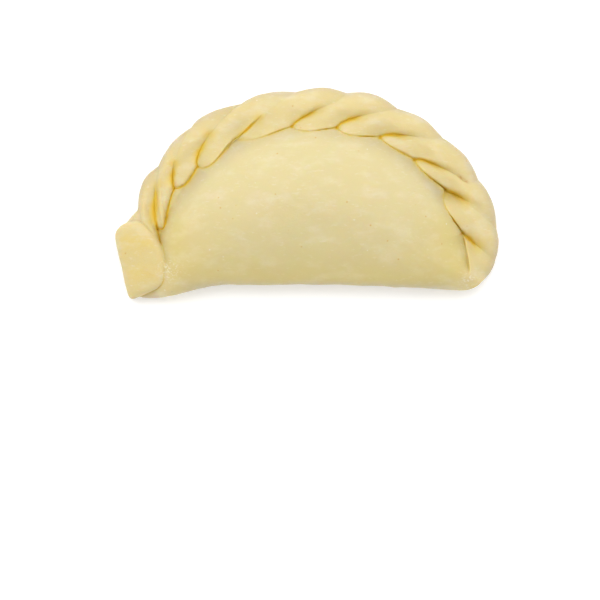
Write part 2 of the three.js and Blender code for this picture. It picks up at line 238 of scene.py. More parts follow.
def nearest_on(line, points):
    """For each point, the nearest point on a polyline and how far along the line that is."""
    start, step = line[:-1], np.diff(line, axis=0)
    length = norm(step, axis=1)
    along = np.concatenate([[0], np.cumsum(length)[:-1]])
    flat = points.reshape(-1, 1, 2)
    share = np.clip(((flat - start) * step).sum(-1) / length**2, 0, 1)
    on_line = start + share[..., None] * step
    best = norm(flat - on_line, axis=-1).argmin(axis=1)
    rows = np.arange(len(best))
    nearest = on_line[rows, best]
    reached = along[best] + share[rows, best] * length[best]
    return nearest.reshape(points.shape), reached.reshape(points.shape[:-1])


def distance_from(line, points):
    return norm(points - nearest_on(line, points)[0], axis=-1)


# ---- the dome and the front edge


def front_line(x):
    """The folded front edge in plan, almost straight and bent forwards at both ends."""
    right = FRONT_BEND_RIGHT * (np.maximum(x, 0) / FRONT_RIGHT_END) ** 2
    y = FRONT_Y - right - FRONT_BEND_LEFT * ease(-x, *FRONT_LEFT_STRETCH)
    return np.stack([x, y], axis=-1)


def front_edge(along):
    """Points of the front edge, from the rope's right end at 0 to its left end at 1."""
    at_right = np.clip(along / CORNER_SHARE, 0, 1)
    at_left = np.clip((along - 1 + CORNER_SHARE) / CORNER_SHARE, 0, 1)
    right = bezier(polar(*GROOVES[-1].dip), RIGHT_CORNER, front_line(FRONT_RIGHT_END), at_right)
    left = bezier(front_line(FRONT_LEFT_END), LEFT_CORNER, polar(*GROOVES[0].dip), at_left)
    share = (along - CORNER_SHARE) / (1 - 2 * CORNER_SHARE)
    line = front_line(lerp(FRONT_RIGHT_END, FRONT_LEFT_END, share))
    edge = np.where((along < CORNER_SHARE)[:, None], right, line)
    return np.where((along > 1 - CORNER_SHARE)[:, None], left, edge)


def profile(reach, power, ending):
    """A rounded fall from 1 to 0."""
    return (1 - reach**power) ** ending


def dome_height(plan):
    """The dome has a crest from left to right, a full round front and an easy fall to the rope."""
    x, y = plan[..., 0], plan[..., 1]
    is_right = x > DOME_TOP[0]
    corner_reach = np.where(is_right, CORNER_REACH_RIGHT, CORNER_REACH_LEFT)
    half_length = np.where(is_right, DOME_HALF_LENGTH_RIGHT, DOME_HALF_LENGTH_LEFT)
    half_length = half_length + corner_reach * (1 - ease(y, 0, CORNER_DEPTH))
    side = np.minimum(1, np.abs(x - DOME_TOP[0]) / half_length)
    crease = lerp(CREASE_HEIGHT, END_HEIGHT, side**CREASE_FALL_POWER)
    crest = crease + (DOME_HEIGHT - crease) * profile(side, *CREST_PROFILE)
    crest_y = lerp(DOME_TOP[1], CREST_END_Y, side**CREST_BEND_POWER)

    edge = lerp(FRONT_EDGE_HEIGHT, END_HEIGHT, side**2)
    reach = np.clip((crest_y - y) / (crest_y - front_line(x)[..., 1]), 0, 1)
    power, ending = (lerp(FRONT_PROFILE_MIDDLE[i], FRONT_PROFILE_ENDS[i], side**2) for i in range(2))
    front = edge + (crest - edge) * profile(reach, power, ending)

    half_chord = np.sqrt(np.maximum(0, DOME_FOOT_RADIUS**2 - (x - DOME_FOOT_CENTRE[0]) ** 2))
    depth = np.maximum(1, DOME_FOOT_CENTRE[1] + half_chord - crest_y)
    reach = np.clip((y - crest_y) / depth, 0, 1)
    back = crease + (crest - crease) * profile(reach, *BACK_PROFILE)
    return np.where(y < crest_y, front, back)


# ---- the rope


def rim_rows():
    """Across values, closer together at the rope's two edges."""
    steps = np.linspace(0, 1, RIM_ROWS + 1)
    return lerp(steps, 0.5 - 0.5 * np.cos(np.pi * steps), 0.55)


def fold_columns():
    """Along values of one fold: more of them where it rolls down into the next groove."""
    steps = np.arange(COLUMNS_PER_FOLD) / COLUMNS_PER_FOLD
    return lerp(steps, ease(steps, 0, 1), 0.65)


def notch_line(fold, along):
    """The angle and the radius of the rope's inner edge, before the fold swells inwards."""
    start, end = GROOVES[fold], GROOVES[fold + 1]
    return [lerp(start.notch[i], end.notch[i], along) for i in range(2)]


def fold_plan(fold, along, across):
    """Points of a fold in plan: across is 0 at the rope's inner edge and 1 at its outer edge."""
    start, end = GROOVES[fold], GROOVES[fold + 1]
    inner_angle, inner_radius = notch_line(fold, along)
    inner_radius = inner_radius - start.bulge * np.sin(np.pi * along**start.bulge_skew)
    outer_angle = lerp(start.dip[0], end.dip[0], along)
    outer_radius = lerp(start.dip[1], end.dip[1], along)
    outer_radius = outer_radius + start.bump * np.sin(np.pi * along**start.bump_skew)
    power, lead = (lerp(start.sweep[i], end.sweep[i], along) for i in range(2))
    turn = across**power * (1 + lead * (1 - across))
    return polar(lerp(inner_angle, outer_angle, turn), lerp(inner_radius, outer_radius, across))


def outer_arch(across):
    """The rope's outer half falls in a full round to its widest point."""
    return np.sqrt(1 - np.clip(2 * across - 1, 0, 1) ** ROPE_ROUNDNESS)


def fold_twist(fold, along):
    """How far the rope is twisted: it runs out flat at both ends."""
    if fold == FIRST:
        return ease(along, 0.2, 0.7)
    if fold == LAST:
        return 1 - ease(along, 0.4, 0.9)
    return np.ones_like(along)


def fold_share(fold, along):
    """How far the surface is rope rather than dome: the rope runs out into both front corners."""
    if fold == FIRST:
        return ease(along, 0, 0.5)
    if fold == LAST:
        return 1 - ease(along, 0.5, 1)
    return np.ones_like(along)


def end_crease(fold, along):
    """How far the dome sinks towards the crease of the first or the last fold."""
    if fold == FIRST:
        return 0.65 * ease(along, 0, 0.3)
    if fold == LAST:
        deeper = lerp(0.7, 1.0, ease(along, 0.4, 0.7))
        return ease(along, 0, 0.15) * deeper * (1 - ease(along, 0.7, 1))
    return np.zeros_like(along)


class Fold:
    """One fold of the rope on a grid of columns and rows.

    along is 0 at the groove that the fold comes out of and 1 at the groove that it rolls down into.
    across is 0 at the crease, where the rope meets the dome, and 1 at the rope's outer edge. flat
    holds the points in plan before the edge rolls over.
    """

    def __init__(self, number):
        self.number = number
        self.start, self.end = GROOVES[number], GROOVES[number + 1]
        self.along, self.across = np.broadcast_arrays(fold_columns()[None, :], rim_rows()[:, None])
        self.flat = fold_plan(number, self.along, self.across)
        self.twist = fold_twist(number, self.along)
        self.rope_share = fold_share(number, self.along)
        self.depth = lerp(self.start.depth, self.end.depth, self.along)
        fade = ease(self.across, self.depth - GROOVE_FADE, self.depth)
        self.groove_share = self.twist * (1 - fade)
        self.roll = self.end.roll * (1 + GROOVE_ROLL_GROWTH * ease(self.across, 0.2, 0.6))
        self.find_lines()
        self.find_thickness()

    def find_lines(self):
        """How far each point is from the crease and from the groove before the fold, and which point
        of the edge that rolls over is nearest: on the crease or on the groove after it."""
        steps = np.linspace(0, 1, LINE_POINTS)
        crease = fold_plan(self.number, steps, 0 * steps)
        groove_before = fold_plan(self.number, np.zeros_like(steps), steps)
        groove_after = fold_plan(self.number, np.ones_like(steps), steps)[1:]
        self.from_crease = distance_from(crease, self.flat)
        self.from_start = distance_from(groove_before, self.flat)
        self.nearest, reached = nearest_on(np.concatenate([crease, groove_after]), self.flat)
        crease_length = norm(np.diff(crease, axis=0), axis=1).sum()
        self.on_groove = ease(reached - crease_length, -2, 3)

    def find_thickness(self):
        """How thick the dough is: a flap that rises to a ridge, beside the rim, with a thin edge."""
        pit = PIT_DEPTH * bell(self.across - self.depth + PIT_INSET, PIT_RADIUS)
        flap = FLAP_THICKNESS - pit * (1 - ease(self.along, 0, 0.3))
        risen = lerp(flap, RIDGE_THICKNESS, ease(self.along, 0.05, 0.68))
        rim = RIM_THICKNESS + self.twist * RIM_WAVE * (np.sin(np.pi * self.along) - 0.6)
        full = lerp(rim, risen, self.groove_share)
        self.edge = np.minimum(lerp(*self.start.edges, self.along), full)
        self.thickness = lerp(self.edge, full, ease(self.from_crease, -0.5, EDGE_RISE))

    def top_and_low(self, next_edge):
        """Heights of the fold's top, and of what its edge rolls down to."""
        crease = fold_plan(self.number, self.along, 0 * self.across)
        bed = lerp(dome_height(crease), ROPE_EDGE_HEIGHT, self.across)
        arch = outer_arch(self.across)
        cut = self.start.sunk * fading(self.from_start, 0.5 + 0.5 * self.start.sunk)
        cut = cut * (1 - ease(self.across, 0.25, 0.75))
        top = bed + (self.thickness - cut * self.groove_share) * arch
        low = bed + lerp(self.thickness, 0, self.groove_share) * arch
        low = np.where(self.on_groove < 1, lerp(bed - CREASE_PINCH, low, self.on_groove), low)
        if next_edge is not None:
            low = lerp(low, next_edge[:, None], ease(self.along, 0.45, 1))
        return top, low

    def surface(self, next_edge):
        """The fold's points, its tuck, which is 1 in a crease or groove, where the crease is cut and
        golden shade is painted, and its shade, which is 1 where little light gets in and shade is
        painted.
        next_edge is the first column of heights of what follows."""
        top, low = self.top_and_low(next_edge)
        away = self.flat - self.nearest
        distance = norm(away, axis=-1)
        crease_width = np.clip(CREASE_ROLL_SHARE * self.edge, *ROLL_WIDTH_LIMITS)
        width = lerp(crease_width, self.roll, self.on_groove * ease(self.along, 0, 0.6))
        turn = lerp(ROLL_TURN_CREASE, ROLL_TURN_GROOVE, self.on_groove)
        angle = turn * (1 - np.clip(distance / width, 0, 1)) ** ROLL_POWER
        lift = (np.cos(angle) - np.cos(turn)) / (1 - np.cos(turn))
        rolled = width * (1 - np.sin(angle) / np.sin(turn))
        overhang = np.clip((top - low) / FULL_OVERHANG, 0, 1) * lerp(1, self.groove_share, self.on_groove)
        moved = lerp(distance, rolled, overhang * (distance < width))
        plan = self.nearest + away / np.maximum(distance, 1e-6)[..., None] * moved[..., None]
        height = lerp(dome_height(plan), lerp(low, top, lift), self.rope_share)
        sink = END_SINK * end_crease(self.number, self.along)
        height = height - sink * (1 - lift) * (1 - self.on_groove)
        return raised(plan, height), self.tuck(plan, np.abs(moved)), self.shade(plan)

    def tuck(self, plan, from_edge):
        """Where the crease is cut and golden shade is painted: 1 in a crease or groove, and at both
        ends of a groove a wider, weaker patch.
        """
        in_crease = fading(from_edge, CREASE_TINT_REACH) * np.clip(self.edge / 1.1, 0.3, 1)
        in_groove = self.groove_share * fading(from_edge, GROOVE_TINT_ROLLS * self.roll)
        in_groove = in_groove * (1 - ease(self.across, 0.3, 0.95))
        if self.number in (FIRST, LAST):
            strength = 1.0 if self.number == FIRST else 0.2
            end_along = self.along if self.number == FIRST else 1 - self.along
            in_crease = strength * in_crease * ease(end_along, 0, 0.5)
            in_groove = in_groove * self.rope_share
        tuck = lerp(in_crease, in_groove, self.on_groove)
        reach = 0.5 + 1.3 * ease(self.across, 0.1, 0.45)
        tuck = np.maximum(tuck, self.groove_share * fading(self.from_start, reach) * self.rope_share)
        for side, groove in ((0.0, self.start), (1.0, self.end)):
            end = np.array([groove.depth - GROOVE_END_INSET])
            from_end = norm(plan - fold_plan(self.number, np.array([side]), end), axis=-1)
            at_end = min(0.6, 0.36 * groove.roll) * bell(from_end, GROOVE_END_RADIUS)
            at_end = at_end * (1 - ease(self.across, 0.6, 0.95))
            tuck = np.maximum(tuck, at_end * self.rope_share)
        return tuck

    def shade(self, plan):
        """1 around the notch that the fold comes out of, and less along its crease."""
        from_notch = norm(plan - polar(*self.start.notch), axis=-1)
        at_notch = bell(from_notch, NOTCH_SHADE_RADIUS + 0.6 * self.start.sunk)
        at_notch = at_notch * ease(self.along, 0, 0.08)
        along_crease = np.clip(self.edge / 2.4, 0, 0.7)
        shown = self.rope_share**0.5
        if self.number == LAST:
            along_crease = lerp(0.6, 0.8, ease(self.along, 0.4, 0.7))
            along_crease = along_crease * (1 - ease(self.along, 0.7, 1))
            shown = 1.0
        in_crease = along_crease * fading(self.from_crease, CREASE_SHADE_REACH) * (1 - self.on_groove)
        return np.maximum(at_notch, in_crease) * shown


# ---- the rim beyond the rope


def front_inner(along):
    """Where the rim beyond the rope begins, on the dome."""
    reach = 0.8 + 0.12 * (1 - ease(along, 0, 0.25)) + 0.06 * ease(along, 0.8, 1)
    return lerp(RING_CENTRE, front_edge(along), reach[:, None])


def front_surface(along, across):
    """The rim beyond the rope, where the dome rounds over to its own edge, as points and how much
    of each column's foot is like the rope's."""
    outer, inner = front_edge(along), front_inner(along)
    for end, groove in ((0.0, GROOVES[-1]), (1.0, GROOVES[0])):
        gap = polar(*groove.notch) - front_inner(np.array([end]))
        inner = inner + gap * (1 - ease(np.abs(along - end), 0, 0.12))[:, None]
    plan = lerp(inner[None], outer[None], across[:, None, None])
    drop = LEFT_DROP * ease(-outer[:, 0], 46, 56)
    height = dome_height(plan) - drop * (1 - np.sqrt(1 - across[:, None] ** 4))
    foot_share = ease(outer[:, 0], 47, 55) + ease(-outer[:, 0], 51, 58)
    return raised(plan, height), foot_share


def rim():
    """The whole rim: points, tuck and shade by row and column, and each column's share of rope."""
    front, front_share = front_surface(np.arange(FRONT_COLUMNS) / FRONT_COLUMNS, rim_rows())
    plain = np.zeros(front.shape[:2])
    parts = [(front, plain, plain, front_share)]
    next_edge = None
    for number in reversed(range(FOLD_COUNT)):
        points, tuck, shade = Fold(number).surface(next_edge)
        next_edge = points[:, 0, 2]
        parts.insert(0, (points, tuck, shade, np.ones(COLUMNS_PER_FOLD)))
    return [np.concatenate([part[i] for part in parts], axis=-2 if i == 0 else -1) for i in range(4)]


# ---- the whole skin as rings

# A ring of points around the pie, each with its tuck, its share of rope and its shade.
Ring = namedtuple("Ring", "points tuck rope shade")


def dome_rings(edge):
    """Rings from the dome's top to the rope, whose edge is the rim's first row.

    A ring holds every column, or every second, fourth and so on where it is small. The lines that
    join the rings bend, to meet the rope squarely.
    """
    inner = edge.points[:, :2]
    base = [polar(*notch_line(fold, fold_columns())) for fold in range(FOLD_COUNT)]
    base = np.concatenate(base + [inner[ROPE_COLUMNS:]])
    straight = base - RING_CENTRE
    square = base * (norm(straight, axis=1) / norm(base, axis=1))[:, None]
    first, last = slice(0, COLUMNS_PER_FOLD), slice(ROPE_COLUMNS - COLUMNS_PER_FOLD, ROPE_COLUMNS)
    bend = np.ones(COLUMNS)
    bend[first] = ease(fold_columns(), 0, 1)
    bend[last] = 1 - ease(fold_columns(), 0, 1)
    bend[ROPE_COLUMNS:] = 0
    bend = bend[:, None] * (straight - square)
    sink = [end_crease(fold, fold_columns()) for fold in range(FOLD_COUNT)]
    sink = np.concatenate(sink + [np.zeros(FRONT_COLUMNS)])
    spread = np.full(COLUMNS, CREASE_SPREAD)
    spread[last] = LAST_CREASE_SPREAD

    rings = []
    for share in DOME_RINGS:
        step = min(2 ** max(0, math.floor(-math.log2(share))), LARGEST_STEP)
        plan = lerp(RING_CENTRE, base[::step], share)
        plan = plan + (1 - share) * ease(share, 0.35, 0.8) * bend[::step]
        plan = plan + (inner - base)[::step] * ease(share, 0.78, 1)
        gap = norm(inner[::step] - plan, axis=1)
        height = dome_height(plan) - END_SINK * sink[::step] * fading(gap, 2.5)
        # The rope's painted golden shade and painted shade spread onto the dome beside the crease.
        rings.append(Ring(
            raised(plan, height),
            edge.tuck[::step] * fading(gap, spread[::step]),
            fading(gap, 1.5) * edge.rope[::step],
            edge.shade[::step] * fading(gap, 2 * spread[::step]),
        ))
    return rings


def under_rings(inner, edge):
    """Rings from the rim's outer edge down to the flat base and in to its middle."""
    outer = edge.points[:, :2]
    undercut = lerp(FRONT_UNDERCUT, norm(outer - inner, axis=1), edge.rope)
    share = undercut / norm(outer - RING_CENTRE, axis=1)
    foot = lerp(outer, RING_CENTRE, share[:, None])
    none = np.zeros(COLUMNS)
    rings = []
    for row in range(1, UNDER_ROWS + 1):
        turn = 0.5 * math.pi * row / UNDER_ROWS
        plan = lerp(outer, foot, 1 - math.cos(turn))
        height = edge.points[:, 2] * (1 - math.sin(turn))
        rings.append(Ring(raised(plan, height), none, edge.rope, none))
    for share, step in BASE_RINGS:
        plan = lerp(RING_CENTRE, foot[::step], share)
        rings.append(Ring(raised(plan, none[::step]), none[::step], none[::step], none[::step]))
    return rings


def skin_rings():
    """Rings from the top of the dome over the rim to the middle of the base."""
    points, tuck, shade, rope_share = rim()
    rows = [Ring(points[i], tuck[i], rope_share, shade[i]) for i in range(len(points))]
    return dome_rings(rows[0]) + rows + under_rings(rows[0].points[:, :2], rows[-1])


def bridge(first, second):
    """Faces between two rings of vertex numbers, one of which may be half as long."""
    if len(first) == len(second):
        return [(first[j - 1], first[j], second[j], second[j - 1]) for j in range(len(first))]
    if len(second) == 2 * len(first):
        faces = []
        for j in range(len(first)):
            a, b = first[j], first[(j + 1) % len(first)]
            c, d, e = second[2 * j], second[2 * j + 1], second[(2 * j + 2) % len(second)]
            faces += [(a, d, c), (a, b, d), (b, e, d)]
        return faces
    return [face[::-1] for face in bridge(second, first)]


def closed_faces(numbers, last):
    """Faces that bridge rings of vertex numbers and close them with a first and a last vertex."""
    faces = [(0, numbers[0][j], numbers[0][j - 1]) for j in range(len(numbers[0]))]
    for one, other in zip(numbers[:-1], numbers[1:]):
        faces += bridge(one, other)
    return faces + [(last, numbers[-1][j - 1], numbers[-1][j]) for j in range(len(numbers[-1]))]


Skin = namedtuple("Skin", "vertices faces tuck rope shade")


def skin_mesh():
    """The skin as vertices and faces, and each vertex's tuck, share of rope and shade."""
    rings = skin_rings()
    top = np.array([[*RING_CENTRE, dome_height(RING_CENTRE)]])
    base = np.array([[*RING_CENTRE, 0.0]])
    vertices = np.concatenate([top] + [ring.points for ring in rings] + [base])
    numbers, first = [], 1
    for ring in rings:
        numbers.append(np.arange(first, first + len(ring.points)))
        first += len(ring.points)
    values = [
        np.concatenate([[0.0]] + [getattr(ring, name) for ring in rings] + [[0.0]])
        for name in ("tuck", "rope", "shade")
    ]
    return Skin(vertices, closed_faces(numbers, len(vertices) - 1), *values)


# ---- the tab


def rounded_outline(corners, points_per_corner=24):
    """A closed outline, clockwise, with straight sides and rounded corners."""
    points = []
    for i, (corner, rounding) in enumerate(corners):
        corner = np.array(corner)
        before = np.array(corners[i - 1][0]) - corner
        after = np.array(corners[(i + 1) % len(corners)][0]) - corner
        start = corner + before / norm(before) * rounding
        end = corner + after / norm(after) * rounding
        points.append(bezier(start, corner, end, np.linspace(0, 1, points_per_corner)))
    return np.concatenate(points)


def evenly(outline, count):
    """The closed outline as evenly spaced points."""
    closed = np.concatenate([outline, outline[:1]])
    reached = np.concatenate([[0], np.cumsum(norm(np.diff(closed, axis=0), axis=1))])
    wanted = reached[-1] * np.arange(count) / count
    return np.stack([np.interp(wanted, reached, closed[:, i]) for i in range(2)], axis=-1)


def flap_top(flap, plan):
    return flap.top + (plan - np.array(flap.centre)) @ np.array(flap.slope)


def flap_mesh(flap, columns=128, rows=48):
    """A flap of dough with rounded sides and a sloping top."""
    outline = evenly(rounded_outline(flap.corners), columns)
    turn = np.linspace(0, math.pi, rows + 1)[1:-1]
    girth = np.sin(turn) ** (2 / FLAP_SIDE_POWER)
    rise = 0.5 + 0.5 * np.sign(np.cos(turn)) * np.abs(np.cos(turn)) ** (2 / FLAP_SIDE_POWER)
    plan = lerp(np.array(flap.centre), outline[None], girth[:, None, None])
    height = lerp(flap.bottom, flap_top(flap, plan), rise[:, None])
    grid = raised(plan, height).reshape(-1, 3)
    vertices = np.concatenate([[[*flap.centre, flap.top]], grid, [[*flap.centre, flap.bottom]]])
    numbers = 1 + np.arange(len(turn) * columns).reshape(-1, columns)
    return vertices, closed_faces(numbers, len(vertices) - 1)


# ---- meshes


def make_object(name, vertices, faces):
    mesh = bpy.data.meshes.new(name)
    mesh.from_pydata([tuple(v) for v in vertices], [], [tuple(int(i) for i in f) for f in faces])
    mesh.update()
    piece = bpy.data.objects.new(name, mesh)
    bpy.context.scene.collection.objects.link(piece)
    return piece


def joined(piece, others):
    """Unites the pieces into one closed solid."""
    group = bpy.data.collections.new("joined")
    for other in others:
        bpy.context.scene.collection.objects.unlink(other)
        group.objects.link(other)
    modifier = piece.modifiers.new("join", "BOOLEAN")
    modifier.operation = "UNION"
    modifier.operand_type = "COLLECTION"
    modifier.collection = group
    modifier.solver = "MANIFOLD"
    evaluated = piece.evaluated_get(bpy.context.evaluated_depsgraph_get())
    mesh = bpy.data.meshes.new_from_object(evaluated)
    piece.modifiers.clear()
    piece.data = mesh
    for other in others:
        bpy.data.objects.remove(other)
    bpy.data.collections.remove(group)
    return piece


def vertex_vectors(mesh, name):
    """Each vertex's position, as co, or its normal."""
    values = np.empty(len(mesh.vertices) * 3, np.float32)
    mesh.vertices.foreach_get(name, values)
    return values.reshape(-1, 3)


def move_vertices(mesh, points):
    mesh.vertices.foreach_set("co", points.astype(np.float32).ravel())


def surface_tree(vertices, faces):
    corners = [tuple(v) for v in vertices]
    return BVHTree.FromPolygons(corners, [tuple(int(i) for i in f) for f in faces])


def waves(points, size, seed, count=9):
    """A smooth uneven field of about -1 to 1, from waves that cross in many directions."""
    draw = np.random.default_rng(seed)
    directions = draw.normal(size=(count, 3))
    directions /= norm(directions, axis=1)[:, None]
    turns = points @ directions.T * (2 * math.pi / size) * draw.uniform(0.7, 1.4, count)
    return np.sin(turns + draw.uniform(0, 2 * math.pi, count)).sum(axis=1) / math.sqrt(count)


def add_values(mesh, name, values):
    """Stores one number for each vertex, for the material to read."""
    attribute = mesh.attributes.new(name, "FLOAT", "POINT")
    attribute.data.foreach_set("value", values.astype(np.float32))


def smoothed(mesh, points, weights, rounds):
    """Draws each vertex towards the middle of its neighbours, as far as its weight says."""
    edges = np.empty(len(mesh.edges) * 2, np.int32)
    mesh.edges.foreach_get("vertices", edges)
    first, second = edges.reshape(-1, 2).T
    count = np.bincount(edges, minlength=len(points))[:, None]
    for _ in range(rounds):
        total = np.zeros_like(points)
        np.add.at(total, first, points[second])
        np.add.at(total, second, points[first])
        points = lerp(points, total / count, weights[:, None])
    return points


# ---- how closed in the surface is

MAP_STEP = 0.4
# Cells that the search goes out from a point, and how many of them count as right beside it.
MAP_REACH, MAP_BESIDE = 15, 4
MAP_DIRECTIONS = 16
STEEPEST = 2.5
RAY_START = 100


def height_map(points, faces, margin):
    """Heights of the surface seen from above, on a grid that reaches a margin beyond it."""
    tree = surface_tree(points, faces)
    low = points.min(0)[:2] - margin
    counts = np.ceil((points.max(0)[:2] + margin - low) / MAP_STEP).astype(int) + 1
    heights = np.zeros(counts)
    for i in range(counts[0]):
        for j in range(counts[1]):
            above = (low[0] + i * MAP_STEP, low[1] + j * MAP_STEP, RAY_START)
            hit = tree.ray_cast(above, (0, 0, -1))[0]
            if hit:
                heights[i, j] = hit.z
    return heights, low


def enclosure(points, faces):
    """How far the dough around each point closes it in, as seen from above: 0 where the surface is
    flat or rounds away, near 1 in a deep groove."""
    heights, low = height_map(points, faces, (MAP_REACH + 2) * MAP_STEP)
    slope = np.stack(np.gradient(heights, MAP_STEP))
    slope = slope * np.minimum(1, STEEPEST / np.maximum(1e-6, norm(slope, axis=0)))
    closed, covered = np.zeros(heights.shape), np.zeros(heights.shape)
    for turn in np.arange(MAP_DIRECTIONS) * 2 * math.pi / MAP_DIRECTIONS:
        along = (math.cos(turn), math.sin(turn))
        horizon = np.zeros(heights.shape)
        for distance in range(1, MAP_REACH + 1):
            shift = [round(distance * part) for part in along]
            rise = np.roll(heights, (-shift[0], -shift[1]), (0, 1)) - heights
            covered += (distance <= MAP_BESIDE) * (rise + heights > 1)
            gap = MAP_STEP * math.hypot(*shift)
            plane = MAP_STEP * (slope[0] * shift[0] + slope[1] * shift[1])
            horizon = np.maximum(horizon, (rise - plane) / gap * (1 - distance / (MAP_REACH + 1)))
        closed += horizon / np.sqrt(1 + horizon**2) / MAP_DIRECTIONS
    closed *= ease(covered / (MAP_BESIDE * MAP_DIRECTIONS), 0.7, 1)
    place = (points[:, :2] - low) / MAP_STEP
    cell = np.floor(place).astype(int)
    share = place - cell
    return sum(
        closed[cell[:, 0] + i, cell[:, 1] + j]
        * np.abs(1 - i - share[:, 0]) * np.abs(1 - j - share[:, 1])
        for i in (0, 1) for j in (0, 1)
    )


# ---- the dough


def values_on(skin, points):
    """Tuck, shade and share of rope at points that lie on the skin. The tab counts as rope."""
    tree = KDTree(len(skin.vertices))
    for i, vertex in enumerate(skin.vertices):
        tree.insert(vertex, i)
    tree.balance()
    found = [tree.find(point)[1:] for point in points]
    return [
        np.array([values[i] if gap < TOUCHING else beyond for i, gap in found])
        for values, beyond in ((skin.tuck, 0.0), (skin.shade, 0.0), (skin.rope, 1.0))
    ]


def tab_tone_and_painted_shade(points, gaps):
    """The tab's tone, faint over its top, with two bands of painted shade across it; 0 on its sides
    and elsewhere.
    """
    below_top = 1 - points[:, 2] / flap_top(TAB, points[:, :2])
    on_tab = (gaps[:, 2] < TOUCHING) & (gaps[:, 0] > TOUCHING)
    bands = sum(strength * bell(points[:, 1] - y, radius) for y, radius, strength in TAB_SHADE_BANDS)
    return on_tab * (0.15 + 0.85 * bands) * (1 - ease(below_top, 0.01, 0.08))


def painted_hollow_shade(points, faces, rope, gaps):
    """Painted golden shade where the dough is closed in: less on the dome, beside the tab and in the
    last crease."""
    closed = enclosure(points, faces) * ease(points[:, 2], 1, 3) * lerp(0.4, 0.7, rope)
    from_last = distance_from(LAST_CREASE, points[:, :2])
    closed = closed * (1 - LAST_CREASE_SHARE * bell(from_last, LAST_CREASE_REACH))
    return closed * lerp(0.55, 1, ease(gaps[:, 1:].min(axis=1), 0.5, 3))


def painted_front_shade(points, rope):
    """Painted shade on the dome's lower front, which makes it yellower and a little darker."""
    y, z = points[:, 1], points[:, 2]
    low = (1 - ease(z, 12, 27)) * (1 - ease(y, 14, 30))
    return low * lerp(0.35, 1, ease(z, 9.5, 15)) * (1 - rope)


def painted_foot_shade(points, rope):
    """Painted shade at the front edge and the rope's foot, which makes them darker."""
    x, z = points[:, 0], points[:, 2]
    front = (1 - ease(z, 8, 17)) * (1 - ease(np.abs(x), 38, 50))
    return lerp(front, 1 - ease(z, 4, 8.5), rope)


def make_dough():
    """The skin united with the tab, with fine relief and the values that colour it."""
    skin = skin_mesh()
    pads = [flap_mesh(TAB_BACK), flap_mesh(TAB)]
    piece = make_object("empanada_dough", skin.vertices, skin.faces)
    piece = joined(piece, [make_object("pad", *pad) for pad in pads])
    points = vertex_vectors(piece.data, "co").astype(float)
    normals = vertex_vectors(piece.data, "normal")

    tuck, shade, rope = values_on(skin, points)
    trees = [surface_tree(*solid) for solid in [skin[:2]] + pads]
    gaps = np.array([[tree.find_nearest(point)[3] for tree in trees] for point in points])
    seam = fading(np.sort(gaps, axis=1)[:, 1], SEAM_REACH)
    # Painted golden shade along the seam around the tab, stronger towards its front.
    tuck = np.maximum(tuck, lerp(0.6, 0.08, ease(points[:, 1], -2, 12)) * seam)
    notches = np.array([polar(*groove.notch) for groove in PINCHED])
    from_notch = norm(points[:, None, :2] - notches, axis=-1).min(axis=1)
    pinch = bell(from_notch, NOTCH_RADIUS) * (points[:, 2] > 3)
    # Painted golden shade in the pinched notches as well.
    tuck = np.maximum(tuck, pinch)
    tab = tab_tone_and_painted_shade(points, gaps)

    points[:, 2] -= NOTCH_DEPTH * pinch
    lumps = sum(height * waves(points, size, seed) for height, size, seed in LUMPS)
    lumps = lumps * ease(points[:, 2], 0.5, 3) - CREASE_CUT * tuck
    points = points + normals * lumps[:, None]
    torn = bell(distance_from(TEAR, points[:, :2]), TEAR_WIDTH) * (points[:, 2] > 3)
    points = points - normals * (TEAR_DEPTH * torn)[:, None]
    flour = [bell(norm(points[:, :2] - place, axis=1), radius) for place, radius in FLOUR]
    outwards = points[:, :2] / norm(points[:, :2], axis=1)[:, None]
    height, size, seed = RAGGED_EDGE
    points[:, :2] += outwards * (height * waves(points, size, seed) * np.sqrt(tuck))[:, None]
    seam_weights = np.clip(1.3 * seam, 0, 0.7) * (points[:, 2] > 1)
    points = smoothed(piece.data, points, seam_weights, SEAM_ROUNDS)
    move_vertices(piece.data, points)

    faces = [tuple(face.vertices) for face in piece.data.polygons]
    # tuck, shade, closed, low and under are painted shade; tab holds the tab's tone and its bands of
    # painted shade.
    values = {
        "tuck": tuck,
        "shade": shade,
        "rope": rope,
        "tab": tab,
        "torn": torn,
        "flour": np.maximum(*flour),
        "closed": painted_hollow_shade(points, faces, rope, gaps),
        "low": painted_front_shade(points, rope),
        "under": painted_foot_shade(points, rope),
    }
    for name, numbers in values.items():
        add_values(piece.data, name, numbers)
    return piece


def set_into_frame(piece):
    """Moves the dough from its own millimetres into the frame's box, in metres."""
    low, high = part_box("empanada")
    points = vertex_vectors(piece.data, "co").astype(float)
    middle = (points.min(0) + points.max(0)) / 2
    middle[2] = points[:, 2].min()
    centre = np.array([(low.x + high.x) / 2, (low.y + high.y) / 2, low.z])
    move_vertices(piece.data, (points - middle) * MM + centre)
    piece.data.update()


# ---- the material

BODY, PALE, PINKISH = (0.615, 0.534, 0.274), (0.68, 0.61, 0.41), (0.63, 0.525, 0.29)
# The tab's colour serves both for its own tone and for the painted shade in bands across it.
ROPE_COLOUR, TAB_COLOUR = (0.625, 0.518, 0.243), (0.650, 0.505, 0.160)
# The golden colours below are painted shade in creases, grooves and hollows.
SHADE_GOLD, SHADE_DARK_GOLD = (0.66, 0.50, 0.11), (0.66, 0.42, 0.02)

